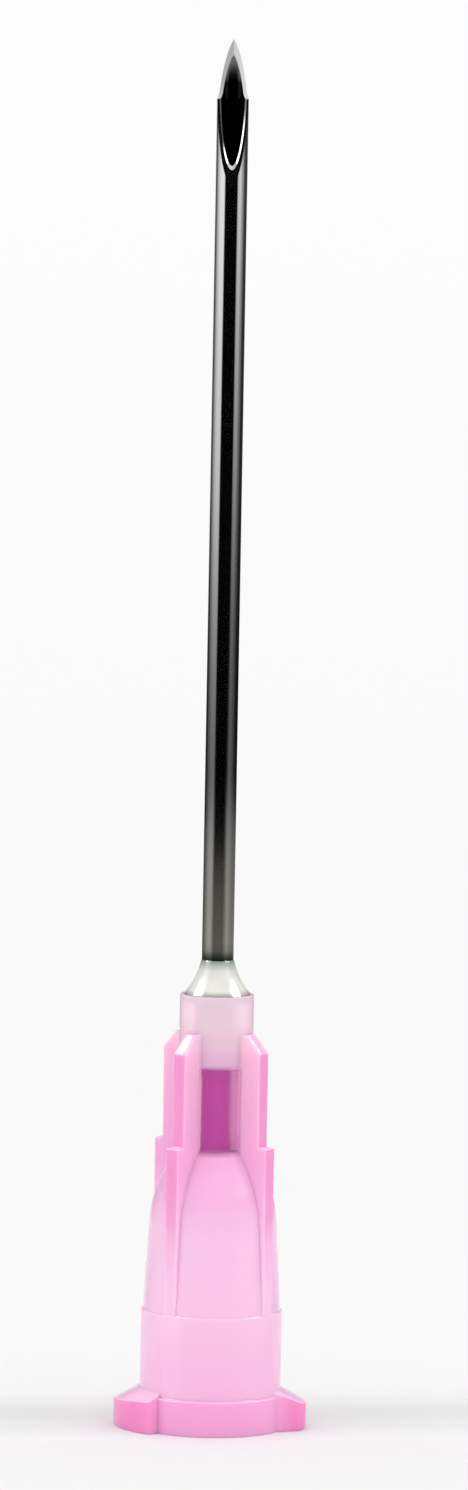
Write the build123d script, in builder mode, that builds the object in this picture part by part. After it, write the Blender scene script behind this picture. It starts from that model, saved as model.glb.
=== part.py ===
from build123d import *
from math import cos, radians, sin, tan
import os

# A hypodermic needle, 18 gauge and one and a half inches long, standing on the open end of its hub.
# Millimetres, +Z along the tube, origin on the axis at the hub's open end.
# The ground face of the point looks along -Y.
# Angles round the axis are counted from +X towards +Y.

# Steel tube
tube_diameter = 1.27
tube_wall = 0.15
tube_reach = 38.1  # from the hub's nose to the point
seat_clearance = 0.015  # between the tube and its seat in the hub

# Grind of the point
main_angle = 8.5  # between the main ground face and the axis
main_length = 5.75  # from the point down to the heel
lancet_angle = 12.7  # between a side facet and the axis
lancet_turn = 20.0  # of a side facet round the axis, away from the main face
lancet_length = 2.1  # from the point down to the wheel's run-out
wheel_runout = 0.35  # radius that the wheel leaves at the foot of a side facet

# Outside of the hub, whose heights stack up from the open end
foot_diameter = 5.90
foot_height = 1.4
foot_edge = 0.10
skirt_diameter = 5.66
skirt_height = 4.77  # foot and skirt together
body_step = 0.07  # the body stands back from the skirt
body_length = 3.53  # slightly tapered stretch above the skirt
shoulder_diameter = 5.12  # where the taper turns into the ogive
ogive_length = 2.9
nose_diameter = 2.96
nose_length = 6.3
nose_edge = 0.06
nose_fillet = 0.8  # between the ogive and the nose

# Ribs
rib_count = 4
rib_turn = 53.0
rib_thickness = 0.60
rib_root_thickness = 0.92  # where they flare into the nose
rib_root_reach = 0.14  # of that flare out from the nose
rib_step = 0.3  # height of their step above the ogive
rib_diameter = 4.86  # above the step
rib_top_diameter = 3.50
rib_slope_length = 0.76
rib_top_drop = 1.5  # from the nose's end down to the ribs
rib_edge = 0.08

# Lock lugs, two of them, handed for a right-hand lock thread
lug_span = 7.75
lug_tip_turn = 178.0
lug_back_radius = 3.63  # halfway along the long curved back
lug_end_radius = 3.42  # where the back stops
lug_end_turn = 225.5
lug_flank_radius = 3.42  # outer corner of the short flank
lug_flank_turn = 162.5
lug_root_turn = 152.5  # where the flank starts on the skirt
lug_rim_height = 1.05
lug_slope = 29.0
lug_edge = 0.15

# Inside of the hub
socket_mouth = 4.29
socket_taper = 0.06  # loss of diameter for each millimetre of depth
socket_entry = 0.12
dome_diameter = 2.5
dome_length = 1.6
crown_wall = 0.8  # between the socket's ceiling and the ogive's upper end
passage_length = 0.7  # from the socket's ceiling up to the ledge that carries the tube
well_depth = 2.85
well_cone_length = 0.75
well_diameter = 1.90
well_flare_diameter = 2.72
well_flare_depth = 0.35

# Bonding resin
resin_rise = 1.37  # height of the cone above the nose
resin_edge = 0.03  # of the cone's upper end, proud of the tube
resin_hollow = 0.10  # how far the cone's side curves in

tube_radius = tube_diameter / 2
lumen_radius = tube_radius - tube_wall
shoulder_height = skirt_height + body_length
nose_foot = shoulder_height + ogive_length
hub_height = nose_foot + nose_length
point_height = hub_height + tube_reach
rib_top_height = hub_height - rib_top_drop
dome_height = nose_foot - crown_wall
socket_depth = dome_height - dome_length
seat_height = dome_height + passage_length
well_floor = hub_height - well_depth
well_cone_top = well_floor + well_cone_length
foot_radius = foot_diameter / 2
skirt_radius = skirt_diameter / 2
body_radius = skirt_radius - body_step
shoulder_radius = shoulder_diameter / 2
nose_radius = nose_diameter / 2
lug_radius = lug_span / 2
seat_radius = tube_radius + seat_clearance
well_radius = well_diameter / 2
flare_radius = well_flare_diameter / 2
mouth_radius = socket_mouth / 2
socket_end_radius = mouth_radius - socket_taper / 2 * socket_depth


def polar(radius, turn):
    """A point at a radius and an angle round the axis."""
    return (radius * cos(radians(turn)), radius * sin(radians(turn)))


# Four ribs: a cross of bars cut out of one turned envelope, so that their lower faces are flush with the skirt
with BuildPart() as ribs:
    with BuildSketch(Plane.XZ):
        with BuildLine():
            Polyline(
                (0, foot_height),
                (skirt_radius, foot_height),
                (skirt_radius, nose_foot + rib_step),
                (rib_diameter / 2, nose_foot + rib_step),
                (rib_diameter / 2, rib_top_height - rib_slope_length),
                (rib_top_diameter / 2, rib_top_height),
                (0, rib_top_height),
                close=True,
            )
        make_face()
    revolve(axis=Axis.Z)
    with BuildSketch(Plane.XY.offset(foot_height)):
        with BuildLine(mode=Mode.PRIVATE) as half_plan:
            flare_foot = (nose_radius + rib_root_reach, rib_thickness / 2)
            flare_top = (nose_radius - rib_thickness / 6, rib_root_thickness / 2)
            side = Line((skirt_diameter, rib_thickness / 2), flare_foot)
            flare = TangentArc(side @ 1, flare_top, tangent=side % 1)
            Polyline(flare @ 1, (0, rib_root_thickness / 2), (0, 0), (skirt_diameter, 0), side @ 0)
        rib_half = make_face(half_plan.edges(), mode=Mode.PRIVATE)
        with PolarLocations(0, rib_count, start_angle=rib_turn):
            add(rib_half)
            add(mirror(rib_half, about=Plane.XZ, mode=Mode.PRIVATE))
    extrude(amount=rib_top_height - foot_height, mode=Mode.INTERSECT)
    outer_edges = ribs.edges().filter_by(Axis.Z).filter_by(
        lambda edge: edge.distance_to((0, 0, edge.center().Z)) > rib_top_diameter / 2
    )
    fillet(outer_edges, rib_edge)

# One lock lug: its plan has a long curved back on one side and a short flank on the other, and its top slopes outwards
with BuildPart() as lug:
    with BuildSketch(Plane.XZ):
        with BuildLine():
            Polyline(
                (0, 0),
                (lug_radius - lug_edge, 0),
                (lug_radius, lug_edge),
                (lug_radius, lug_rim_height),
                (mouth_radius, lug_rim_height + (lug_radius - mouth_radius) * tan(radians(lug_slope))),
                (0, lug_rim_height + (lug_radius - mouth_radius) * tan(radians(lug_slope))),
                close=True,
            )
        make_face()
    revolve(axis=Axis.Z)
    with BuildSketch(Plane.XY) as lug_plan:
        with BuildLine():
            back = ThreePointArc(
                polar(lug_radius, lug_tip_turn),
                polar(lug_back_radius, (lug_tip_turn + lug_end_turn) / 2),
                polar(lug_end_radius, lug_end_turn),
            )
            tip = TangentArc(back @ 0, polar(lug_flank_radius, lug_flank_turn), tangent=-(back % 0))
            Polyline(
                tip @ 1,
                polar(skirt_radius, lug_root_turn),
                polar(mouth_radius, lug_root_turn),
                polar(mouth_radius, lug_end_turn),
                back @ 1,
            )
        make_face()
        corners = lug_plan.vertices().filter_by(
            lambda corner: skirt_radius + lug_edge < corner.distance_to((0, 0, 0)) < lug_radius - lug_edge
        )
        fillet(corners, lug_edge)
    extrude(amount=foot_height + lug_radius, mode=Mode.INTERSECT)

# The hub is one moulding: turned body, ribs and lugs, hollowed by the socket, the passage, the seat and the well
with BuildPart() as hub:
    with BuildSketch(Plane.XZ) as outside:
        with BuildLine():
            draft = Line((body_radius, skirt_height), (shoulder_radius, shoulder_height))
            ogive = TangentArc(draft @ 1, (nose_radius, nose_foot), tangent=draft % 1)
            Polyline(
                ogive @ 1,
                (nose_radius, hub_height - nose_edge),
                (nose_radius - nose_edge, hub_height),
                (0, hub_height),
                (0, 0),
                (foot_radius - foot_edge, 0),
                (foot_radius, foot_edge),
                (foot_radius, foot_height - foot_edge / 2),
                (foot_radius - foot_edge / 2, foot_height),
                (skirt_radius, foot_height),
                (skirt_radius, skirt_height),
                draft @ 0,
            )
        make_face()
        fillet(outside.vertices().sort_by_distance((nose_radius, nose_foot))[0], nose_fillet)
    revolve(axis=Axis.Z)
    add(ribs.part)
    with PolarLocations(0, 2):
        add(lug.part)
    with BuildSketch(Plane.XZ):
        with BuildLine():
            cone = Line((mouth_radius, 0), (socket_end_radius, socket_depth))
            dome = TangentArc(cone @ 1, (dome_diameter / 2, dome_height), tangent=cone % 1)
            Polyline(
                dome @ 1,
                (lumen_radius, dome_height),
                (lumen_radius, seat_height),
                (seat_radius, seat_height),
                (seat_radius, well_floor),
                (well_radius, well_cone_top),
                (well_radius, hub_height - well_flare_depth),
                (flare_radius, hub_height),
                (0, hub_height),
                (0, 0),
                cone @ 0,
            )
        make_face()
        with BuildLine():
            Polyline(
                (0, 0),
                (mouth_radius + socket_entry, 0),
                (mouth_radius - socket_entry, 2 * socket_entry),
                (0, 2 * socket_entry),
                close=True,
            )
        make_face()
    revolve(axis=Axis.Z, mode=Mode.SUBTRACT)
hub.part.label = "hub"

# The tube stands on the ledge in the hub, and its point is ground in three facets
heel_height = point_height - main_length
with BuildPart() as cannula:
    with BuildSketch(Plane.XY.offset(seat_height)):
        Circle(tube_radius)
        Circle(lumen_radius, mode=Mode.SUBTRACT)
    extrude(amount=point_height + tube_radius - seat_height)
    grind_height = point_height + tube_diameter - heel_height
    with BuildSketch(Plane.YZ):
        with BuildLine():
            Polyline(
                (-tube_radius, heel_height),
                (-tube_radius + grind_height * tan(radians(main_angle)), heel_height + grind_height),
                (-tube_diameter, heel_height + grind_height),
                (-tube_diameter, heel_height),
                close=True,
            )
        make_face()
    extrude(amount=tube_diameter, both=True, mode=Mode.SUBTRACT)
    for turn in (radians(-lancet_turn), radians(lancet_turn)):
        facet_plane = Plane(
            origin=(0, 0, point_height), x_dir=(sin(turn), -cos(turn), 0), z_dir=(-cos(turn), -sin(turn), 0)
        )
        slope = tan(radians(lancet_angle))
        edge_distance = tube_radius * cos(turn)
        with BuildSketch(facet_plane):
            with BuildLine():
                facet = Line(
                    (-edge_distance - slope * tube_diameter, tube_diameter),
                    (-edge_distance + slope * lancet_length, -lancet_length),
                )
                runout = JernArc(facet @ 1, facet % 1, wheel_runout, 90 - lancet_angle)
                Polyline(
                    runout @ 1,
                    (tube_diameter, (runout @ 1).Y),
                    (tube_diameter, tube_diameter),
                    facet @ 0,
                )
            make_face()
        extrude(amount=tube_diameter, both=True, mode=Mode.SUBTRACT)
cannula.part.label = "cannula"

# The resin fills the well round the tube and rises in a small hollow-sided cone
with BuildPart() as adhesive:
    with BuildSketch(Plane.XZ):
        with BuildLine():
            side = SagittaArc(
                (flare_radius, hub_height), (tube_radius + resin_edge, hub_height + resin_rise), resin_hollow
            )
            Polyline(
                side @ 1,
                (tube_radius, hub_height + resin_rise),
                (tube_radius, well_floor),
                (seat_radius, well_floor),
                (well_radius, well_cone_top),
                (well_radius, hub_height - well_flare_depth),
                side @ 0,
            )
        make_face()
    revolve(axis=Axis.Z)
adhesive.part.label = "adhesive"

os.makedirs("parts", exist_ok=True)
export_step(hub.part, "parts/hub.step")
export_step(cannula.part, "parts/cannula.step")
export_step(adhesive.part, "parts/adhesive.step")
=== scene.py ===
import math

import bmesh
import bpy
from mathutils import Matrix, Vector


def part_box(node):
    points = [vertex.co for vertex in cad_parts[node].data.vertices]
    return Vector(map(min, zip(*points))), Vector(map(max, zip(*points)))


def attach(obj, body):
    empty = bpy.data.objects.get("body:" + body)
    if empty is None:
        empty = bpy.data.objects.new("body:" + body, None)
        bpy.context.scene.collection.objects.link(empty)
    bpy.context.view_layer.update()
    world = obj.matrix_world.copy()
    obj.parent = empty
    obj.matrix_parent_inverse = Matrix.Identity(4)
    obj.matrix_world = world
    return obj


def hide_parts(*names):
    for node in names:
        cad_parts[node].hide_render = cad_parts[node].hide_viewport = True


# A hypodermic needle standing on its hub: one pink moulding, one steel tube with a ground point, and the
# clear resin that bonds them. Sizes are metres, +Z runs up the tube, and the ground face looks along -Y.

bl_info = {
    "name": "Hypodermic needle",
    "version": (1, 0, 0),
    "blender": (4, 5, 0),
    "location": "View3D > Sidebar > Needle",
    "description": "Builds the hub, the ground tube and the resin of a hypodermic needle in its packed frame",
    "category": "Add Mesh",
}

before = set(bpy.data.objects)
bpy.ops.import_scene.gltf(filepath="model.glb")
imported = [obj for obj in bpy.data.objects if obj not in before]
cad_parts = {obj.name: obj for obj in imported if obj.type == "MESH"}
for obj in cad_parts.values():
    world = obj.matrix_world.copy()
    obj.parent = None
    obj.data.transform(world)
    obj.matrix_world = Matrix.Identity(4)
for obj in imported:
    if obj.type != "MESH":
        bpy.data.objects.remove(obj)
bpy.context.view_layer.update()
HUB_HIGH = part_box("hub")[1]
TUBE_LOW, TUBE_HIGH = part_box("cannula")
RESIN_LOW, RESIN_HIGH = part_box("adhesive")

BODY = "root"
MM = 0.001
TURN_STEPS = 128
ARC_STEPS = 12

# Glue well in the hub's nose, in millimetres: radius, its mouth's radius and depth, its floor cone's height.
WELL_RADIUS, WELL_MOUTH, MOUTH_DEPTH, WELL_CONE = 0.95, 1.36, 0.35, 0.75
RIB_ROOT_RADIUS = 1.1  # millimetres from the axis to the ribs' roots inside the nose
RIB_DROP = 1.5  # millimetres from the hub's top down to the ribs' tops

# Finishes and stage, in metres where they are lengths.
SEAT_EDGE = 0.70 * MM  # radius out to which the tube's seat shows violet
LINE_STRETCH = 60  # how many times longer than wide a drawn line is
TABLE_NEAR, TABLE_FAR = 0.014, 0.05  # where the table starts and ends its change to the backdrop's white
FLOOR_RADIUS = 0.12
WALL_STRENGTH = 1.25  # brightest level of the studio's walls


# Colour

def linear(hex_colour):
    """Turns an sRGB hex value such as #F7BFE4 into the linear colour that shaders read."""
    parts = [int(hex_colour[place:place + 2], 16) / 255 for place in (1, 3, 5)]
    levels = [part / 12.92 if part <= 0.04045 else ((part + 0.055) / 1.055) ** 2.4 for part in parts]
    return (*levels, 1.0)


# Mesh tools. Meshes are modelled in millimetres, where the finest edges bevel cleanly, and scaled at the end.

def arc_between(start, heading, end, steps=ARC_STEPS):
    """The points after start on the arc that leaves it at a heading, in radians, and stops at end."""
    chord = Vector(end) - Vector(start)
    swing = math.remainder(math.atan2(chord.y, chord.x) - heading, math.tau)
    points = []
    for step in range(1, steps + 1):
        share = step / steps
        reach = chord.length * math.sin(swing * share) / math.sin(swing)
        points.append((
            start[0] + reach * math.cos(heading + swing * share),
            start[1] + reach * math.sin(heading + swing * share),
        ))
    return points


def turned(section):
    """A closed solid of revolution about Z from a closed section of (radius, height) points."""
    shape = bmesh.new()
    corners = [shape.verts.new((radius, 0, height)) for radius, height in section]
    sides = [shape.edges.new((corners[place - 1], corners[place])) for place in range(len(corners))]
    bmesh.ops.spin(
        shape, geom=corners + sides, cent=(0, 0, 0), axis=(0, 0, 1), angle=math.tau, steps=TURN_STEPS,
        use_merge=True,
    )
    tidy(shape)
    return shape


def plate(outline, thickness):
    """A flat plate from an outline in the XZ plane, with its thickness centred on that plane."""
    shape = bmesh.new()
    face = shape.faces.new([shape.verts.new((across, -thickness / 2, height)) for across, height in outline])
    pushed = bmesh.ops.extrude_face_region(shape, geom=[face])
    moved = [item for item in pushed["geom"] if isinstance(item, bmesh.types.BMVert)]
    bmesh.ops.translate(shape, verts=moved, vec=(0, thickness, 0))
    tidy(shape)
    return shape


def prism(plan, low, high):
    """A closed upright prism over a plan of (x, y) points."""
    shape = bmesh.new()
    face = shape.faces.new([shape.verts.new((across, along, low)) for across, along in plan])
    pushed = bmesh.ops.extrude_face_region(shape, geom=[face])
    moved = [item for item in pushed["geom"] if isinstance(item, bmesh.types.BMVert)]
    bmesh.ops.translate(shape, verts=moved, vec=(0, 0, high - low))
    tidy(shape)
    return shape


def tidy(shape, distance=1e-5):
    """Closes seams and poles and turns the faces outwards."""
    bmesh.ops.remove_doubles(shape, verts=shape.verts, dist=distance)
    bmesh.ops.recalc_face_normals(shape, faces=shape.faces)


def softened(shape, radius, segments=3, least_angle=25):
    """Rounds every edge that is sharper than an angle in degrees."""
    sharp = [edge for edge in shape.edges if edge.calc_face_angle(0) > math.radians(least_angle)]
    bmesh.ops.bevel(
        shape, geom=sharp, offset=radius, affect="EDGES", segments=segments, profile=0.5, clamp_overlap=True,
        material=-1,
    )
    return shape


def as_object(name, shape):
    """Puts a bmesh in a new object and frees it."""
    mesh = bpy.data.meshes.new(name)
    shape.to_mesh(mesh)
    shape.free()
    piece = bpy.data.objects.new(name, mesh)
    bpy.context.scene.collection.objects.link(piece)
    return piece


def combined(first, second, operation):
    """Unites, cuts or intersects two meshes exactly, and removes the second."""
    modifier = first.modifiers.new("Combine", "BOOLEAN")
    modifier.operation = operation
    modifier.solver = "EXACT"
    modifier.object = second
    made = bpy.data.meshes.new_from_object(first.evaluated_get(bpy.context.evaluated_depsgraph_get()))
    first.modifiers.clear()
    first.data = made
    bpy.data.objects.remove(second)
    return first


def placed(piece, node, material, smooth_angle=30):
    """Scales a finished piece to metres, shades and dresses it, and lets it stand for its CAD node."""
    shape = bmesh.new()
    shape.from_mesh(piece.data)
    tidy(shape)
    bmesh.ops.scale(shape, vec=(MM, MM, MM), verts=shape.verts)
    for face in shape.faces:
        face.smooth = True
    shape.to_mesh(piece.data)
    shape.free()
    piece.data.set_sharp_from_angle(angle=math.radians(smooth_angle))
    weighted = piece.modifiers.new("Weighted normals", "WEIGHTED_NORMAL")
    weighted.keep_sharp = True
    piece.data.materials.clear()
    piece.data.materials.append(material)
    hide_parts(node)
    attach(piece, BODY)
    return piece


# Material tools

# Places of the Mix node's sockets, because its names repeat for numbers and colours.
FACTOR, NUMBER_A, NUMBER_B, COLOUR_A, COLOUR_B = 0, 2, 3, 6, 7
MIXED_NUMBER, MIXED_COLOUR = 0, 2


def add_node(tree, kind, values=None, links=None, stops=None, **settings):
    """Adds a node with its settings, sockets' values, links from other nodes' outputs, and a ramp's stops."""
    node = tree.nodes.new(kind)
    for name, value in settings.items():
        setattr(node, name, value)
    for socket, value in (values or {}).items():
        node.inputs[socket].default_value = value
    for socket, source in (links or {}).items():
        tree.links.new(source, node.inputs[socket])
    if stops:
        elements = node.color_ramp.elements
        elements.remove(elements[1])
        elements[0].position, elements[0].color = stops[0]
        for position, colour in stops[1:]:
            elements.new(position).color = colour
    return node


def new_material(name):
    """An empty node material and its output node."""
    material = bpy.data.materials.new(name)
    material.use_nodes = True
    material.node_tree.nodes.clear()
    output = add_node(material.node_tree, "ShaderNodeOutputMaterial")
    return material, material.node_tree, output


def grey(level):
    """A neutral linear colour."""
    return (level, level, level, 1)


def from_axis(tree, place):
    """A place without its height, and its distance from the needle's axis."""
    flat = add_node(
        tree, "ShaderNodeVectorMath", {1: (1.0, 1.0, 0.0)}, {0: place}, operation="MULTIPLY"
    ).outputs["Vector"]
    distance = add_node(tree, "ShaderNodeVectorMath", links={0: flat}, operation="LENGTH").outputs["Value"]
    return flat, distance


def on_rib_face(tree, place, height):
    """1 on the outer faces of the ribs, fading in above the skirt, and 0 on the rest of the hub: where
    painted shade deepens the pink.
    """
    widest = 3.0
    flat, distance = from_axis(tree, place)
    body_radius = add_node(
        tree, "ShaderNodeValToRGB", links={"Fac": height},
        stops=[
            (share, grey(radius / widest))
            for share, radius in ((0.27, 2.80), (0.474, 2.60), (0.557, 2.20), (0.65, 1.60))
        ],
    )
    reach = add_node(
        tree, "ShaderNodeMath", {1: widest * MM}, {0: body_radius.outputs["Color"]}, operation="MULTIPLY"
    )
    beyond = add_node(tree, "ShaderNodeMath", links={0: distance, 1: reach.outputs[0]}, operation="SUBTRACT")
    proud = add_node(
        tree, "ShaderNodeMapRange", {"From Min": 0.05 * MM, "From Max": 0.25 * MM},
        {"Value": beyond.outputs[0]},
    )
    outwards = add_node(tree, "ShaderNodeVectorMath", links={0: flat}, operation="NORMALIZE")
    normal = add_node(tree, "ShaderNodeNewGeometry").outputs["Normal"]
    turned_out = add_node(
        tree, "ShaderNodeVectorMath", links={0: normal, 1: outwards.outputs["Vector"]},
        operation="DOT_PRODUCT",
    )
    facing_out = add_node(
        tree, "ShaderNodeMapRange", {"From Min": 0.6, "From Max": 0.9}, {"Value": turned_out.outputs["Value"]}
    )
    outer_face = add_node(
        tree, "ShaderNodeMath", links={0: proud.outputs["Result"], 1: facing_out.outputs["Result"]},
        operation="MULTIPLY",
    )
    level = add_node(tree, "ShaderNodeSeparateXYZ", links={"Vector": place}).outputs["Z"]
    above_skirt = add_node(
        tree, "ShaderNodeMapRange", {"From Min": 4.0 * MM, "From Max": 10.0 * MM}, {"Value": level}
    )
    return add_node(
        tree, "ShaderNodeMath", links={0: outer_face.outputs[0], 1: above_skirt.outputs["Result"]},
        operation="MULTIPLY",
    ).outputs[0]


def pink_by_place(tree, settings, place, height, in_nose):
    """The hub's pink: deep at foot and lugs, pale up the body, violet round the tube's seat; with painted
    shade on the rib faces, over the filled well and partly at the foot, and painted light on upward faces.
    """
    distance = from_axis(tree, place)[1]
    # Partly painted shade: the foot is deeper pink for its thick wall, and painted deeper still where less
    # light reaches it near the floor.
    along = add_node(
        tree, "ShaderNodeValToRGB", links={"Fac": height},
        stops=[
            (0.0, settings.foot_pink), (0.077, linear("#EEAAD6")), (0.087, settings.skirt_pink),
            (0.25, linear("#F0C5E1")), (0.45, settings.body_pink), (0.62, linear("#ECB1D8")),
            (0.86, linear("#EFBCD9")), (0.93, settings.collar_pink),
        ],
    )
    in_lug = add_node(
        tree, "ShaderNodeMapRange",
        {"From Min": settings.foot_radius + 0.1 * MM, "From Max": settings.foot_radius + 0.6 * MM},
        {"Value": distance},
    )
    lugged = add_node(
        tree, "ShaderNodeMix", {COLOUR_B: settings.lug_pink},
        {FACTOR: in_lug.outputs["Result"], COLOUR_A: along.outputs["Color"]}, data_type="RGBA",
    )
    # Painted shade: the ribs' outer faces are mixed to a deeper pink than their sides.
    rib_faces_shaded = add_node(
        tree, "ShaderNodeMix", {COLOUR_B: settings.rib_shade_pink},
        {FACTOR: on_rib_face(tree, place, height), COLOUR_A: lugged.outputs[MIXED_COLOUR]}, data_type="RGBA",
    )
    # Painted light: faces that look upwards are mixed towards a paler pink, as if lit from above.
    normal = add_node(tree, "ShaderNodeNewGeometry").outputs["Normal"]
    upwards = add_node(tree, "ShaderNodeSeparateXYZ", links={"Vector": normal}).outputs["Z"]
    top_light_mask = add_node(tree, "ShaderNodeMapRange", {"From Min": 0.55, "From Max": 0.8}, {"Value": upwards})
    top_lit = add_node(
        tree, "ShaderNodeMix", {COLOUR_B: linear("#F2BFE1")},
        {FACTOR: top_light_mask.outputs["Result"], COLOUR_A: rib_faces_shaded.outputs[MIXED_COLOUR]}, data_type="RGBA",
    )
    # Painted shade: the nose wall in front of the glue-filled well is multiplied to a greyer tint.
    over_well = add_node(
        tree, "ShaderNodeValToRGB", links={"Fac": height},
        stops=[(0.79, grey(0.0)), (0.84, grey(1.0)), (0.90, grey(1.0)), (0.93, grey(0.0))],
    )
    filled = add_node(
        tree, "ShaderNodeMath", links={0: over_well.outputs["Color"], 1: in_nose}, operation="MULTIPLY"
    )
    shaded = add_node(
        tree, "ShaderNodeMix", {COLOUR_B: linear("#ECF6F3")},
        {FACTOR: filled.outputs[0], COLOUR_A: top_lit.outputs[MIXED_COLOUR]},
        data_type="RGBA", blend_type="MULTIPLY",
    )
    on_seat = add_node(
        tree, "ShaderNodeMapRange",
        {"From Min": SEAT_EDGE, "From Max": SEAT_EDGE + 0.04 * MM, "To Min": 1.0, "To Max": 0.0},
        {"Value": distance},
    )
    return add_node(
        tree, "ShaderNodeMix", {COLOUR_B: settings.seat_violet},
        {FACTOR: on_seat.outputs["Result"], COLOUR_A: shaded.outputs[MIXED_COLOUR]}, data_type="RGBA",
    ).outputs[MIXED_COLOUR]


def clearness_by_place(tree, settings, place, height, in_nose):
    """The share of light that passes: most where the nose shows the tube's seat, less in the collar."""
    distance = from_axis(tree, place)[1]
    window = add_node(
        tree, "ShaderNodeValToRGB", links={"Fac": height},
        stops=[(0.610, grey(0.0)), (0.652, grey(1.0)), (0.832, grey(1.0)), (0.842, grey(0.0))],
    )
    thin = add_node(
        tree, "ShaderNodeMath", links={0: window.outputs["Color"], 1: in_nose}, operation="MULTIPLY"
    )
    round_well = add_node(
        tree, "ShaderNodeMapRange",
        {"From Min": 0.88, "From Max": 0.93, "To Min": settings.clearness, "To Max": 0.24}, {"Value": height},
    )
    clearer = add_node(
        tree, "ShaderNodeMapRange", {"To Max": 0.94},
        {"Value": thin.outputs[0], "To Min": round_well.outputs["Result"]},
    )
    seen_inside = add_node(tree, "ShaderNodeNewGeometry").outputs["Backfacing"]
    passing = add_node(
        tree, "ShaderNodeMath", links={0: clearer.outputs["Result"], 1: seen_inside}, operation="MAXIMUM"
    )
    off_seat = add_node(
        tree, "ShaderNodeMapRange", {"From Min": SEAT_EDGE, "From Max": SEAT_EDGE + 0.04 * MM, "To Min": 0.6},
        {"Value": distance},
    )
    return add_node(
        tree, "ShaderNodeMath", links={0: passing.outputs[0], 1: off_seat.outputs["Result"]},
        operation="MINIMUM",
    ).outputs[0]


def moulded_polypropylene(settings):
    """Translucent polypropylene, injection moulded: pink all through, a little milky, softly glossy."""
    material, tree, output = new_material("moulded pink polypropylene")
    place = add_node(tree, "ShaderNodeTexCoord").outputs["Object"]
    ripple = add_node(
        tree, "ShaderNodeTexNoise", {"Scale": 1 / settings.ripple_size, "Detail": 2.0}, {"Vector": place}
    )
    bump = add_node(
        tree, "ShaderNodeBump", {"Strength": 0.12, "Distance": settings.ripple_depth},
        {"Height": ripple.outputs["Fac"]},
    )
    level = add_node(tree, "ShaderNodeSeparateXYZ", links={"Vector": place}).outputs["Z"]
    height = add_node(
        tree, "ShaderNodeMapRange", {"From Max": HUB_HIGH.z}, {"Value": level}
    ).outputs["Result"]
    in_nose = add_node(
        tree, "ShaderNodeMapRange",
        {
            "From Min": settings.nose_radius + 0.02 * MM, "From Max": settings.nose_radius + 0.12 * MM,
            "To Min": 1.0, "To Max": 0.0,
        },
        {"Value": from_axis(tree, place)[1]},
    ).outputs["Result"]
    surface = add_node(
        tree, "ShaderNodeBsdfPrincipled",
        {
            "Roughness": 0.22, "IOR": 1.49, "Specular IOR Level": 0.4, "Subsurface Weight": 1.0,
            "Subsurface Radius": (1.0, 0.6, 0.8), "Subsurface Scale": 0.4 * MM,
        },
        {
            "Base Color": pink_by_place(tree, settings, place, height, in_nose),
            "Transmission Weight": clearness_by_place(tree, settings, place, height, in_nose),
            "Normal": bump.outputs["Normal"],
        },
    )
    depth = add_node(
        tree, "ShaderNodeVolumeAbsorption", {"Color": settings.depth_pink, "Density": settings.tint_density}
    )
    tree.links.new(surface.outputs["BSDF"], output.inputs["Surface"])
    tree.links.new(depth.outputs["Volume"], output.inputs["Volume"])
    return material


def steel_by_place(tree, settings, height, blasted):
    """The tube's metal: dark in a ring above the resin, warmer where blasted, violet inside the hub."""
    above_resin = add_node(
        tree, "ShaderNodeMapRange",
        {"From Min": RESIN_HIGH.z - 0.40 * MM, "From Max": RESIN_HIGH.z + 0.75 * MM}, {"Value": height},
    )
    ring = add_node(
        tree, "ShaderNodeValToRGB", links={"Fac": above_resin.outputs["Result"]},
        stops=[
            (0.06, settings.steel), (0.19, settings.ring), (0.45, linear("#54605A")),
            (0.60, linear("#9C9C96")), (0.70, linear("#BCBCB8")), (1.0, settings.steel),
        ],
    )
    bonded = add_node(
        tree, "ShaderNodeMix", {COLOUR_B: settings.bonding},
        {FACTOR: blasted, COLOUR_A: ring.outputs["Color"]}, data_type="RGBA", blend_type="MULTIPLY",
    )
    gripped = add_node(
        tree, "ShaderNodeMapRange",
        {"From Min": HUB_HIGH.z - 2.6 * MM, "From Max": HUB_HIGH.z - 2.8 * MM}, {"Value": height},
    )
    return add_node(
        tree, "ShaderNodeMix", {COLOUR_B: settings.inside_hub},
        {FACTOR: gripped.outputs["Result"], COLOUR_A: bonded.outputs[MIXED_COLOUR]}, data_type="RGBA",
    ).outputs[MIXED_COLOUR]


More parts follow.
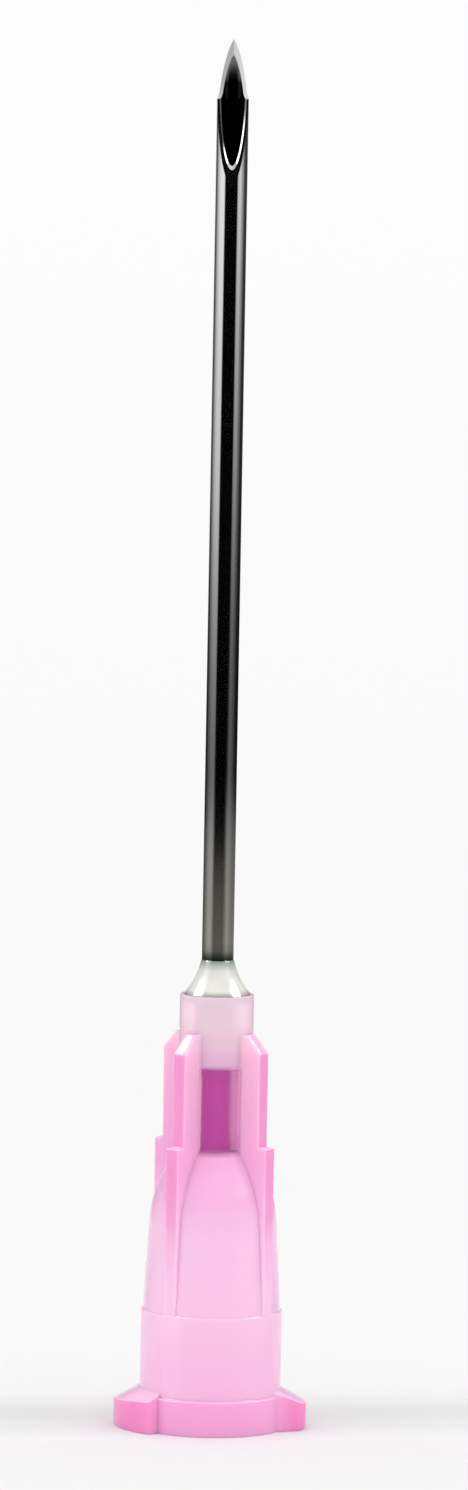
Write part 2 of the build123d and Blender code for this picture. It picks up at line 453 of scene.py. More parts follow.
def drawn_steel(settings):
    """Stainless steel, drawn and polished: a mirror with faint lines, duller where blasted to bond, and
    painted shade in the bore.
    """
    material, tree, output = new_material("drawn and polished stainless steel")
    place = add_node(tree, "ShaderNodeTexCoord").outputs["Object"]
    height = add_node(tree, "ShaderNodeSeparateXYZ", links={"Vector": place}).outputs["Z"]
    line_frequency = 1 / settings.line_spacing
    stretched = add_node(
        tree, "ShaderNodeMapping", {"Scale": (line_frequency, line_frequency, line_frequency / LINE_STRETCH)},
        {"Vector": place},
    )
    lines = add_node(
        tree, "ShaderNodeTexNoise", {"Scale": 1.0, "Detail": 3.0}, {"Vector": stretched.outputs["Vector"]}
    )
    grit = add_node(
        tree, "ShaderNodeTexNoise", {"Scale": 1 / settings.grit_size, "Detail": 4.0}, {"Vector": place}
    )
    blasted = add_node(
        tree, "ShaderNodeMapRange",
        {
            "From Min": settings.blast_top, "From Max": settings.blast_top + 5.5 * MM,
            "To Min": 1.0, "To Max": 0.0,
        },
        {"Value": height}, interpolation_type="SMOOTHSTEP",
    ).outputs["Result"]
    relief = add_node(
        tree, "ShaderNodeMix",
        links={FACTOR: blasted, NUMBER_A: lines.outputs["Fac"], NUMBER_B: grit.outputs["Fac"]},
    )
    bump = add_node(
        tree, "ShaderNodeBump", {"Strength": 0.1, "Distance": settings.relief_depth},
        {"Height": relief.outputs[MIXED_NUMBER]},
    )
    lumen = TUBE_HIGH.x - settings.wall
    out_of_bore = add_node(
        tree, "ShaderNodeMapRange", {"From Min": lumen + 0.002 * MM, "From Max": lumen + 0.006 * MM},
        {"Value": from_axis(tree, place)[1]},
    ).outputs["Result"]
    near_point = add_node(
        tree, "ShaderNodeMapRange",
        {"From Min": TUBE_HIGH.z - 1.7 * MM, "From Max": TUBE_HIGH.z - 0.9 * MM, "To Max": 0.5},
        {"Value": height},
    ).outputs["Result"]
    in_bore = add_node(tree, "ShaderNodeMath", {0: 1.0}, {1: out_of_bore}, operation="SUBTRACT")
    scattered = add_node(
        tree, "ShaderNodeMath", links={0: in_bore.outputs[0], 1: near_point}, operation="MULTIPLY"
    )
    roughness = add_node(tree, "ShaderNodeMapRange", {"To Min": 0.06, "To Max": 0.19}, {"Value": blasted})
    finish = add_node(
        tree, "ShaderNodeMapRange", {"From Max": 0.5, "To Max": 0.6},
        {"Value": scattered.outputs[0], "To Min": roughness.outputs["Result"]},
    )
    # Painted shade: inside the bore the steel is painted near-black, except near the point.
    bright = add_node(tree, "ShaderNodeMath", links={0: out_of_bore, 1: near_point}, operation="MAXIMUM")
    colour = add_node(
        tree, "ShaderNodeMix", {COLOUR_A: settings.bore},
        {FACTOR: bright.outputs[0], COLOUR_B: steel_by_place(tree, settings, height, blasted)},
        data_type="RGBA",
    )
    surface = add_node(
        tree, "ShaderNodeBsdfPrincipled", {"Metallic": 1.0},
        {
            "Base Color": colour.outputs[MIXED_COLOUR], "Roughness": finish.outputs["Result"],
            "Normal": bump.outputs["Normal"],
        },
    )
    tree.links.new(surface.outputs["BSDF"], output.inputs["Surface"])
    return material


def cured_resin(settings):
    """Clear bonding resin, cured: nearly colourless, a little cloudy, wet in its gloss, with painted shade in
    the well under the hub's rim.
    """
    material, tree, output = new_material("cured clear bonding resin")
    place = add_node(tree, "ShaderNodeTexCoord").outputs["Object"]
    clouds = add_node(
        tree, "ShaderNodeTexNoise", {"Scale": 1 / settings.cloud_size, "Detail": 2.0}, {"Vector": place}
    )
    cloudy = add_node(
        tree, "ShaderNodeValToRGB", links={"Fac": clouds.outputs["Fac"]},
        stops=[(0.35, settings.cloudy), (0.65, settings.clear)],
    )
    height = add_node(tree, "ShaderNodeSeparateXYZ", links={"Vector": place}).outputs["Z"]
    # Painted shade: the resin below the hub's rim is mixed towards a dark brown.
    deep = add_node(
        tree, "ShaderNodeMapRange",
        {"From Min": HUB_HIGH.z - 0.05 * MM, "From Max": HUB_HIGH.z - 0.35 * MM}, {"Value": height},
    )
    rim_shaded = add_node(
        tree, "ShaderNodeMix", {COLOUR_B: settings.well_shade},
        {FACTOR: deep.outputs["Result"], COLOUR_A: cloudy.outputs["Color"]}, data_type="RGBA",
    )
    thin = add_node(
        tree, "ShaderNodeMapRange", {"From Min": RESIN_HIGH.z - 0.4 * MM, "From Max": RESIN_HIGH.z},
        {"Value": height},
    )
    tinted = add_node(
        tree, "ShaderNodeMix", {COLOUR_B: settings.at_tube},
        {FACTOR: thin.outputs["Result"], COLOUR_A: rim_shaded.outputs[MIXED_COLOUR]}, data_type="RGBA",
    )
    clear = add_node(
        tree, "ShaderNodeMapRange",
        {
            "From Min": HUB_HIGH.z - 0.1 * MM, "From Max": HUB_HIGH.z + 0.2 * MM,
            "To Min": 0.85, "To Max": 0.15,
        },
        {"Value": height},
    )
    surface = add_node(
        tree, "ShaderNodeBsdfPrincipled",
        {
            "Roughness": 0.10, "IOR": 1.5, "Subsurface Weight": 1.0, "Subsurface Radius": (1.0, 1.0, 0.9),
            "Subsurface Scale": 0.5 * MM,
        },
        {"Base Color": tinted.outputs[MIXED_COLOUR], "Transmission Weight": clear.outputs["Result"]},
    )
    tree.links.new(surface.outputs["BSDF"], output.inputs["Surface"])
    return material


def pale_table(settings):
    """Pale laminate table: near white and matt, with one soft grey band of painted shade, and the backdrop's
    white far out.
    """
    material, tree, output = new_material("pale matt laminate")
    place = add_node(tree, "ShaderNodeTexCoord").outputs["Object"]
    turned_place = add_node(
        tree, "ShaderNodeMapping", {"Rotation": (0, 0, settings.band_turn)}, {"Vector": place}
    )
    turned_parts = add_node(tree, "ShaderNodeSeparateXYZ", links={"Vector": turned_place.outputs["Vector"]})
    across = add_node(
        tree, "ShaderNodeMapRange",
        {
            "From Min": settings.band_place - settings.band_reach,
            "From Max": settings.band_place + settings.band_reach,
        },
        {"Value": turned_parts.outputs["Y"]},
    )
    # Painted shade: a soft grey band across the table, a little behind the needle.
    colour = add_node(
        tree, "ShaderNodeValToRGB", links={"Fac": across.outputs["Result"]},
        stops=[
            (0.0, linear("#E7E7E7")), (0.10, settings.table), (0.33, linear("#DFE1E0")),
            (0.45, settings.band), (0.54, settings.band), (0.68, linear("#E2E3E2")), (0.88, settings.table),
        ],
    )
    colour.color_ramp.interpolation = "EASE"
    surface = add_node(
        tree, "ShaderNodeBsdfPrincipled", {"Roughness": 0.9, "Specular IOR Level": 0.0},
        {"Base Color": colour.outputs["Color"]},
    )
    distant = add_node(tree, "ShaderNodeEmission", {"Color": settings.backdrop, "Strength": 1.0})
    distance = add_node(tree, "ShaderNodeVectorMath", links={0: place}, operation="LENGTH")
    fade = add_node(
        tree, "ShaderNodeMapRange", {"From Min": TABLE_NEAR, "From Max": TABLE_FAR},
        {"Value": distance.outputs["Value"]}, interpolation_type="SMOOTHSTEP",
    )
    path = add_node(tree, "ShaderNodeLightPath").outputs
    seen = path["Is Camera Ray"]
    for ray in ("Is Glossy Ray", "Is Transmission Ray"):
        seen = add_node(tree, "ShaderNodeMath", links={0: seen, 1: path[ray]}, operation="MAXIMUM").outputs[0]
    share = add_node(tree, "ShaderNodeMath", links={0: fade.outputs["Result"], 1: seen}, operation="MULTIPLY")
    mix = add_node(
        tree, "ShaderNodeMixShader", links={0: share.outputs[0], 1: surface.outputs[0], 2: distant.outputs[0]}
    )
    tree.links.new(mix.outputs["Shader"], output.inputs["Surface"])
    return material


# Sizes and colours that a user would change

def length_setting(name, description, millimetres, precision=5):
    """A length, given in millimetres and kept in metres."""
    return bpy.props.FloatProperty(
        name=name, description=description, default=millimetres * MM, unit="LENGTH", precision=precision
    )


def angle_setting(name, description, degrees):
    """An angle, given in degrees and kept in radians."""
    return bpy.props.FloatProperty(
        name=name, description=description, default=math.radians(degrees), subtype="ANGLE"
    )


def colour_setting(name, description, hex_colour):
    """A colour, given as an sRGB hex value and kept linear."""
    return bpy.props.FloatVectorProperty(
        name=name, description=description, default=linear(hex_colour), size=4, min=0, max=1, subtype="COLOR"
    )


class NeedleHubSettings(bpy.types.PropertyGroup):
    """The moulded hub."""
    foot_radius: length_setting("Foot radius", "Outside of the foot ring", 2.95)
    foot_height: length_setting("Foot height", "Height of the foot ring", 1.4)
    skirt_radius: length_setting("Skirt radius", "Outside of the plain skirt", 2.83)
    skirt_height: length_setting("Skirt height", "Top of the plain skirt", 4.77)
    body_step: length_setting("Body step", "How far the body stands back", 0.07)
    shoulder_radius: length_setting("Shoulder radius", "Body where the ogive starts", 2.56)
    shoulder_height: length_setting("Shoulder height", "Where the ogive starts", 8.3)
    nose_radius: length_setting("Nose radius", "Outside of the nose", 1.48)
    nose_foot: length_setting("Nose foot", "Where the ogive meets the nose", 11.2)
    rib_thickness: length_setting("Rib thickness", "Thickness of each rib", 0.60)
    rib_root: length_setting("Rib root", "Thickness where a rib flares into the nose", 0.92)
    rib_radius: length_setting("Rib radius", "Reach of the ribs above their step", 2.43)
    rib_turn: angle_setting("Rib turn", "Angle of the first rib", 53)
    lug_radius: length_setting("Lug radius", "Reach of the lock lugs", 3.875)
    ripple_size: length_setting("Ripple size", "Width of the mould's soft waves", 1.5)
    ripple_depth: length_setting("Ripple depth", "Depth of the mould's soft waves", 0.05, 6)
    # Partly painted shade: the foot's thick wall, and less light near the floor.
    foot_pink: colour_setting("Foot pink", "Foot ring, where the wall is thick", "#EEA7D3")
    lug_pink: colour_setting("Lug pink", "Lock lugs, solid throughout", "#EC8CC2")
    skirt_pink: colour_setting("Skirt pink", "Just above the foot ring", "#EFBBDD")
    body_pink: colour_setting("Body pink", "Thin wall round the socket", "#F0C6E3")
    # Painted shade: the deeper pink painted on the ribs' outer faces.
    rib_shade_pink: colour_setting("Rib pink", "Outer faces of the ribs", "#E69CC9")
    collar_pink: colour_setting("Collar pink", "Clear wall round the glue", "#FFDCE8")
    seat_violet: colour_setting("Seat violet", "Where the tube's seat shows through the nose", "#FFA0EA")
    depth_pink: colour_setting("Depth pink", "What the pink turns to through the thickness", "#FF59CF")
    clearness: bpy.props.FloatProperty(
        name="Clearness", description="Share of light that passes", default=0.02, min=0, max=1,
        subtype="FACTOR",
    )
    tint_density: bpy.props.FloatProperty(
        name="Tint density", description="How fast the pink deepens with thickness, per metre", default=160
    )


class NeedleTubeSettings(bpy.types.PropertyGroup):
    """The steel tube."""
    wall: length_setting("Wall", "Wall of the tube", 0.15)
    main_angle: angle_setting("Main angle", "Between the main ground face and the axis", 8.5)
    main_length: length_setting("Main length", "From the point down to the heel", 5.75)
    lancet_angle: angle_setting("Side facet angle", "Between a side facet and the axis", 12.7)
    lancet_turn: angle_setting("Side facet turn", "Turn of a side facet round the axis", 20)
    lancet_length: length_setting("Side facet length", "From the point to the run-out", 2.1)
    wheel_runout: length_setting("Run-out radius", "Radius at the foot of a side facet", 0.35)
    blast_top: length_setting("Blasted height", "Top of the dull bonding zone", 21.2)
    line_spacing: length_setting("Line spacing", "Between drawn lines, coarser than real to show", 0.06, 6)
    grit_size: length_setting("Grit size", "Grain of the blasted zone", 0.05, 6)
    relief_depth: length_setting("Relief depth", "Depth of the drawn lines and of the grit", 0.001, 6)
    steel: colour_setting("Steel", "Polished tube", "#CFCFD0")
    ring: colour_setting("Ring", "Darkest part of the ring above the resin", "#34403C")
    bonding: colour_setting("Bonding", "Tint of the blasted zone", "#E6E1D6")
    inside_hub: colour_setting("Inside hub", "Tube seen through the hub's pink", "#EC88FF")
    # Painted shade: the near-black painted inside the bore, where little light reaches.
    bore: colour_setting("Bore", "Depth of the bore", "#141412")


class NeedleResinSettings(bpy.types.PropertyGroup):
    """The clear resin."""
    cloud_size: length_setting("Cloud size", "Width of the faint clouds", 0.8)
    clear: colour_setting("Clear", "Clearest resin", "#EDEDE5")
    cloudy: colour_setting("Cloudy", "Cloudiest resin", "#E6E6DD")
    # Painted shade: the dark brown of the resin under the hub's rim.
    well_shade: colour_setting("In the well", "Resin under the hub's rim", "#94685C")
    at_tube: colour_setting("At the tube", "Thin edge that creeps up the steel", "#A0B0A6")


class NeedleStageSettings(bpy.types.PropertyGroup):
    """Floor, surroundings and camera."""
    table: colour_setting("Table", "Laminate on both sides of the band", "#E9E9E9")
    # Painted shade: the grey of the table's band.
    band: colour_setting("Band", "Middle of the grey band", "#DADCDB")
    backdrop: colour_setting("Backdrop", "White that the table turns into", "#F9F9F9")
    band_place: length_setting("Band place", "Middle of the floor's grey band behind the axis", 3.2)
    band_reach: length_setting("Band reach", "Of the grey band, each way from its middle", 8)
    band_turn: angle_setting("Band turn", "Turn of the grey band on the floor", -7.6)
    camera_distance: length_setting("Camera distance", "From the axis to the lens", 335)
    camera_height: length_setting("Camera height", "Of the lens above the floor", 56)
    camera_side: length_setting("Camera side", "Of the lens to the right of the axis", 0.50)
    aim_height: length_setting("Aim height", "Height on the axis that the camera looks at", 27.5)
    camera_roll: angle_setting("Camera roll", "Lean of the needle in the picture", 1.03)
    lens: bpy.props.FloatProperty(name="Lens", description="Focal length", default=203.35, unit="CAMERA")


# Pieces

def hub_section(settings):
    """The closed (radius, height) section of the hub's turned form: outside, well, passage and socket."""
    top = HUB_HIGH.z / MM
    foot, skirt = settings.foot_radius / MM, settings.skirt_radius / MM
    foot_height, skirt_height = settings.foot_height / MM, settings.skirt_height / MM
    body = skirt - settings.body_step / MM
    shoulder, shoulder_height = settings.shoulder_radius / MM, settings.shoulder_height / MM
    nose, nose_foot = settings.nose_radius / MM, settings.nose_foot / MM
    tube = TUBE_HIGH.x / MM
    foot_slope, bond_gap, tube_wall, well_depth, run_in_bend = 0.03, 0.015, 0.15, 2.85, 0.02
    mouth, taper, entry = 2.145, 0.03, 0.12
    crown_wall, dome_height, dome_top, ledge = 0.8, 1.6, 1.25, 0.7
    ceiling = nose_foot - crown_wall
    socket_end = ceiling - dome_height
    seat = ceiling + ledge
    bore, lumen = tube + bond_gap, tube - tube_wall
    well_floor = top - well_depth
    taper_heading = math.atan2(shoulder_height - skirt_height, shoulder - body)
    cone_heading = math.atan2(1, -taper)
    cone_end = (mouth - taper * socket_end, socket_end)
    outside = [
        (mouth + entry, 0), (foot, 0), (foot, foot_height), (skirt, foot_height + foot_slope),
        (skirt, skirt_height), (body, skirt_height), (shoulder, shoulder_height),
    ]
    ogive = arc_between((shoulder, shoulder_height), taper_heading, (nose, nose_foot))
    before, leaving = Vector(ogive[-3]), Vector(ogive[-2])
    run_in = (Vector((nose, nose_foot)) - leaving).length
    outside += ogive[:-1]
    run_in_heading = math.atan2(leaving.y - before.y, leaving.x - before.x) + run_in_bend
    outside += arc_between(leaving, run_in_heading, (nose, nose_foot + run_in), steps=8)
    outside += [
        (nose, top), (WELL_MOUTH, top), (WELL_RADIUS, top - MOUTH_DEPTH),
        (WELL_RADIUS, well_floor + WELL_CONE), (bore, well_floor), (bore, seat), (lumen, seat),
        (lumen, ceiling),
    ]
    inside = arc_between(cone_end, cone_heading, (dome_top, ceiling))
    return outside + inside[::-1] + [cone_end, (mouth - entry * taper, entry)]


def four_round(shape, settings):
    """One bmesh with a shape at each of the ribs' four turns, in place of the shape."""
    group = bmesh.new()
    copied = bpy.data.meshes.new("rib")
    first, quarter = Matrix.Rotation(settings.rib_turn, 3, "Z"), Matrix.Rotation(math.pi / 2, 3, "Z")
    bmesh.ops.rotate(shape, verts=shape.verts, cent=(0, 0, 0), matrix=first)
    for count in range(4):
        shape.to_mesh(copied)
        group.from_mesh(copied)
        bmesh.ops.rotate(shape, verts=shape.verts, cent=(0, 0, 0), matrix=quarter)
    shape.free()
    bpy.data.meshes.remove(copied)
    return group


def rib_roots(settings):
    """The flares where the four ribs run into the nose."""
    side, nose = settings.rib_thickness / 2 / MM, settings.nose_radius / MM
    root, reach, sinking = settings.rib_root / 2 / MM, 0.14, 0.1
    start = (nose + reach, side)
    flare = [start] + arc_between(start, math.pi, (nose - sinking, root), steps=6)
    flare.append((RIB_ROOT_RADIUS, root))
    plan = flare + [(across, -along) for across, along in reversed(flare)]
    overlap, under = 0.6, 0.02
    low, high = settings.nose_foot / MM - overlap, HUB_HIGH.z / MM - RIB_DROP - under
    return four_round(prism(plan, low, high), settings)


def rib_shapes(settings):
    """The four ribs, each stepped and sloped at its top, and rooted inside the hub's wall."""
    top = HUB_HIGH.z / MM - RIB_DROP
    skirt, skirt_height = settings.skirt_radius / MM, settings.skirt_height / MM
    shoulder_height, nose_foot = settings.shoulder_height / MM, settings.nose_foot / MM
    reach, step = settings.rib_radius / MM, nose_foot + 0.3
    lower = skirt - 0.02
    outline = [
        (2.35, skirt_height - 0.2), (lower, skirt_height - 0.2), (lower, step), (reach, step),
        (reach, top - 0.76), (1.75, top), (RIB_ROOT_RADIUS, top), (RIB_ROOT_RADIUS, nose_foot + 0.1),
        (1.72, nose_foot - 0.95), (2.15, shoulder_height + 0.4),
    ]
    return four_round(softened(plate(outline, settings.rib_thickness / MM), radius=0.07), settings)


def lug_prism(settings):
    """The plan of one lock lug, with a long curved back and a short flank, pushed up past its sloping top."""
    def polar(radius, degrees):
        return Vector((radius * math.cos(math.radians(degrees)), radius * math.sin(math.radians(degrees))))
    end_radius, inner_radius, back_end, front_end = 3.42, 2.6, 225.5, 162.5
    tip = polar(settings.lug_radius / MM + 0.002, 178)
    middle, end = polar(3.63, 201.75), polar(end_radius, back_end)
    chords = [b - a for a, b in ((tip, middle), (middle, end), (tip, end))]
    turns = [math.atan2(chord.y, chord.x) for chord in chords]
    heading = turns[0] - (turns[1] - turns[2])
    short = arc_between(tip, heading + math.pi, polar(end_radius, front_end), steps=6)
    plan = [tuple(tip)] + arc_between(tip, heading, end, steps=16)
    plan += [tuple(polar(inner_radius, degrees)) for degrees in (back_end, 205, 180, 155)]
    plan += [tuple(polar(settings.skirt_radius / MM, front_end - 10))] + short[::-1]
    return softened(prism(plan, low=-1, high=4), radius=0.15, segments=4, least_angle=40)


def lug_object(settings):
    """Both lock lugs: the plan cut by a turned envelope with a sloping top, then softened."""
    reach, inner, rim, chamfer = settings.lug_radius / MM, 2.2, 1.05, 0.15
    top = rim + (reach - inner) * math.tan(math.radians(29))
    section = [(inner, 0), (reach - chamfer, 0), (reach, chamfer), (reach, rim), (inner, top)]
    lug = combined(as_object("lug", lug_prism(settings)), as_object("envelope", turned(section)), "INTERSECT")
    shape = bmesh.new()
    shape.from_mesh(lug.data)
    tidy(shape)
    softened(shape, radius=0.06)
    copied = bmesh.ops.duplicate(shape, geom=shape.verts[:] + shape.edges[:] + shape.faces[:])
    opposite = [item for item in copied["geom"] if isinstance(item, bmesh.types.BMVert)]
    bmesh.ops.rotate(shape, verts=opposite, cent=(0, 0, 0), matrix=Matrix.Rotation(math.pi, 3, "Z"))
    shape.to_mesh(lug.data)
    shape.free()
    return lug


class NEEDLE_OT_hub(bpy.types.Operator):
    """Moulds the hub: turned body, four ribs, two lock lugs, socket and glue well"""
    bl_idname = "needle.hub"
    bl_label = "Hub"

    def execute(self, context):
        settings = context.scene.needle_hub
        hub = as_object("moulded_hub", softened(turned(hub_section(settings)), radius=0.04))
        hub = combined(hub, as_object("ribs", rib_shapes(settings)), "UNION")
        hub = combined(hub, as_object("roots", rib_roots(settings)), "UNION")
        hub = combined(hub, lug_object(settings), "UNION")
        placed(hub, "hub", moulded_polypropylene(settings))
        return {"FINISHED"}


class NEEDLE_OT_cannula(bpy.types.Operator):
    """Draws the tube and grinds its point in one main and two side facets"""
    bl_idname = "needle.cannula"
    bl_label = "Cannula"

    def execute(self, context):
        settings = context.scene.needle_tube
        radius, foot, tip = TUBE_HIGH.x / MM, TUBE_LOW.z / MM, TUBE_HIGH.z / MM
        lumen = radius - settings.wall / MM
        section = [(lumen, foot), (radius, foot), (radius, tip + 1), (lumen, tip + 1)]
        tube = as_object("ground_tube", turned(section))
        heel, far, rise, width = tip - settings.main_length / MM, -9, 10.0, 4.0
        leaving = -radius + rise * math.tan(settings.main_angle)
        main = plate([(-radius, heel), (leaving, heel + rise), (far, heel + rise), (far, heel)], width)
        bmesh.ops.rotate(main, verts=main.verts, cent=(0, 0, 0), matrix=Matrix.Rotation(math.pi / 2, 3, "Z"))
        tube = combined(tube, as_object("main wheel", main), "DIFFERENCE")
        for side in (-1, 1):
            wheel = as_object("side wheel", side_wheel(settings, radius, tip, side))
            tube = combined(tube, wheel, "DIFFERENCE")
        brush = as_object("rim brush", rim_brush(settings, radius, lumen, heel))
        tube = combined(tube, brush, "DIFFERENCE")
        placed(tube, "cannula", drawn_steel(settings), smooth_angle=5)
        return {"FINISHED"}


def rim_brush(settings, radius, lumen, heel):
    """The countersink that blunts the bore's rim, widest at the heel: a cone sheared along the main face."""
    steepness, rim, core, spare, set_over = 4.0, lumen + 0.065, 0.3, 0.1, 0.01
    brush = turned([
        (core, (core - rim) * steepness), (rim + spare, spare * steepness), (core, spare * steepness),
    ])
    bmesh.ops.translate(brush, verts=brush.verts, vec=(set_over, 0, 0))
    shear = Matrix.Identity(4)
    shear[2][1] = 1 / math.tan(settings.main_angle)
    shear[2][3] = heel + radius * shear[2][1]
    bmesh.ops.transform(brush, matrix=shear, verts=brush.verts)
    return brush


def side_wheel(settings, radius, tip, side):
    """The space that the wheel grinds away for one side facet, with the round run-out at its foot."""
    turn = side * settings.lancet_turn
    edge, slope = radius * math.cos(turn), math.tan(settings.lancet_angle)
    length, runout = settings.lancet_length / MM, settings.wheel_runout / MM
    facet_foot = (-edge + slope * length, -length)
    heading = math.atan2(-1, slope)
    swing = math.pi / 2 - settings.lancet_angle
    inwards = heading + math.pi / 2
    centre = Vector(facet_foot) + runout * Vector((math.cos(inwards), math.sin(inwards)))
    far, above, width, steps = 3, 2, 4.0, 20
    outline = [(-edge - slope * above, above), facet_foot]
    for step in range(1, steps + 1):
        angle = heading - math.pi / 2 + swing * step / steps
        outline.append((centre.x + runout * math.cos(angle), centre.y + runout * math.sin(angle)))
    outline += [(far, outline[-1][1]), (far, above)]
    shape = plate([(across, height + tip) for across, height in outline], width)
    bmesh.ops.rotate(
        shape, verts=shape.verts, cent=(0, 0, 0), matrix=Matrix.Rotation(turn - math.pi / 2, 3, "Z")
    )
    return shape


class NEEDLE_OT_adhesive(bpy.types.Operator):
    """Pours the resin: it fills the well and rises round the tube in a hollow-sided cone"""
    bl_idname = "needle.adhesive"
    bl_label = "Adhesive"

    def execute(self, context):
        settings = context.scene.needle_resin
        tube, gap, overlap, feather, hollow = TUBE_HIGH.x / MM, 0.012, 0.02, 0.03, 0.26
        top, hub_top, floor = RESIN_HIGH.z / MM, HUB_HIGH.z / MM, RESIN_LOW.z / MM
        inner, skin, well = tube - overlap, tube + 0.01, WELL_RADIUS - gap
        foot = (WELL_MOUTH - gap, hub_top + 0.005)
        section = [
            (inner, floor + overlap), (skin, floor + overlap), (well, floor + WELL_CONE),
            (well, hub_top - MOUTH_DEPTH), foot,
        ]
        chord = math.atan2(top - hub_top, tube + feather - foot[0])
        section += arc_between(foot, chord + hollow, (tube + feather, top - feather))
        section += [(skin, top), (inner, top)]
        resin = as_object("resin_cone", softened(turned(section), radius=0.01, least_angle=40))
        placed(resin, "adhesive", cured_resin(settings), smooth_angle=40)
        return {"FINISHED"}


class NEEDLE_OT_stage(bpy.types.Operator):
    """Sets the pale floor, the soft surroundings and the camera"""
    bl_idname = "needle.stage"
    bl_label = "Stage"

    def execute(self, context):
        settings = context.scene.needle_stage
        shape = bmesh.new()
        bmesh.ops.create_circle(shape, cap_ends=True, segments=96, radius=FLOOR_RADIUS)
        floor = as_object("floor", shape)
        floor.data.materials.append(pale_table(settings))
        surroundings(context.scene, settings)
        camera(context.scene, settings)
        context.scene.view_settings.view_transform = "Standard"
        return {"FINISHED"}


# Surroundings and camera

def compass_stops(pairs, brightest):
    """Ramp stops over the whole round from (bearing in degrees, level), with 0 towards the camera's side."""
    return [(0.5 + degrees / 360, grey(level / brightest)) for degrees, level in pairs]


def studio_walls(tree, parts, rise):
    """What gloss mirrors near the level: bright panels at the sides, dark by the camera, the table below."""
    backwards = add_node(tree, "ShaderNodeMath", {1: -1.0}, {0: parts["Y"]}, operation="MULTIPLY")
    bearing = add_node(
        tree, "ShaderNodeMath", links={0: parts["X"], 1: backwards.outputs[0]}, operation="ARCTAN2"
    )
    compass = add_node(
        tree, "ShaderNodeMapRange", {"From Min": -math.pi, "From Max": math.pi}, {"Value": bearing.outputs[0]}
    ).outputs["Result"]
    panels = add_node(
        tree, "ShaderNodeValToRGB", links={"Fac": compass},
        stops=compass_stops([
            (-180, 0.9), (-162, 0.8), (-148, 0.10), (-128, 0.14), (-106, 0.72), (-85, 1.15), (-62, 1.25),
            (-52, 1.15), (-43, 0.0), (43, 0.0), (53, 0.9), (68, 1.1), (86, 0.60), (112, 0.07), (150, 0.05),
            (164, 0.8),
        ], WALL_STRENGTH),
    )
    left_heights = add_node(
        tree, "ShaderNodeValToRGB", links={"Fac": rise},
        stops=[(share, grey(level)) for share, level in (
            (0.0, 0.03), (0.43, 0.05), (0.446, 0.13), (0.454, 0.105), (0.46, 0.18), (0.466, 0.34),
            (0.472, 0.66), (0.478, 0.74), (0.49, 0.97), (0.51, 1.1), (0.55, 0.9), (0.6, 0.25), (0.71, 0.0),
        )],
    )
    right_heights = add_node(
        tree, "ShaderNodeValToRGB", links={"Fac": rise},
        stops=[(share, grey(level)) for share, level in (
            (0.0, 0.03), (0.43, 0.05), (0.446, 0.13), (0.454, 0.10), (0.46, 0.11), (0.466, 0.15),
            (0.472, 0.33), (0.478, 0.45), (0.484, 0.63), (0.49, 0.89), (0.51, 1.0), (0.55, 0.8), (0.6, 0.2),
            (0.71, 0.0),
        )],
    )
    to_right = add_node(
        tree, "ShaderNodeMapRange", {"From Min": -0.1, "From Max": 0.1}, {"Value": parts["X"]}
    )
    heights = add_node(
        tree, "ShaderNodeMix",
        links={
            FACTOR: to_right.outputs["Result"], COLOUR_A: left_heights.outputs["Color"],
            COLOUR_B: right_heights.outputs["Color"],
        },
        data_type="RGBA",
    )
    standing = add_node(
        tree, "ShaderNodeMix", {FACTOR: 1.0},
        {COLOUR_A: panels.outputs["Color"], COLOUR_B: heights.outputs[MIXED_COLOUR]},
        data_type="RGBA", blend_type="MULTIPLY",
    )
    table_round = add_node(
        tree, "ShaderNodeValToRGB", links={"Fac": compass},
        stops=compass_stops([
            (-180, 0.3), (-150, 0.16), (-120, 0.28), (-95, 0.46), (-70, 0.54), (-50, 0.36), (-34, 0.0),
            (28, 0.0), (46, 0.36), (65, 0.52), (90, 0.46), (130, 0.46), (160, 0.5),
        ], WALL_STRENGTH),
    )
    near_table = add_node(
        tree, "ShaderNodeMapRange", {"From Min": 0.452, "From Max": 0.4468}, {"Value": rise}
    )
    walls = add_node(
        tree, "ShaderNodeMix",
        links={
            FACTOR: near_table.outputs["Result"], COLOUR_A: standing.outputs[MIXED_COLOUR],
            COLOUR_B: table_round.outputs["Color"],
        },
        data_type="RGBA",
    )
    return add_node(
        tree, "ShaderNodeBackground", {"Strength": WALL_STRENGTH}, {"Color": walls.outputs[MIXED_COLOUR]}
    ).outputs[0]


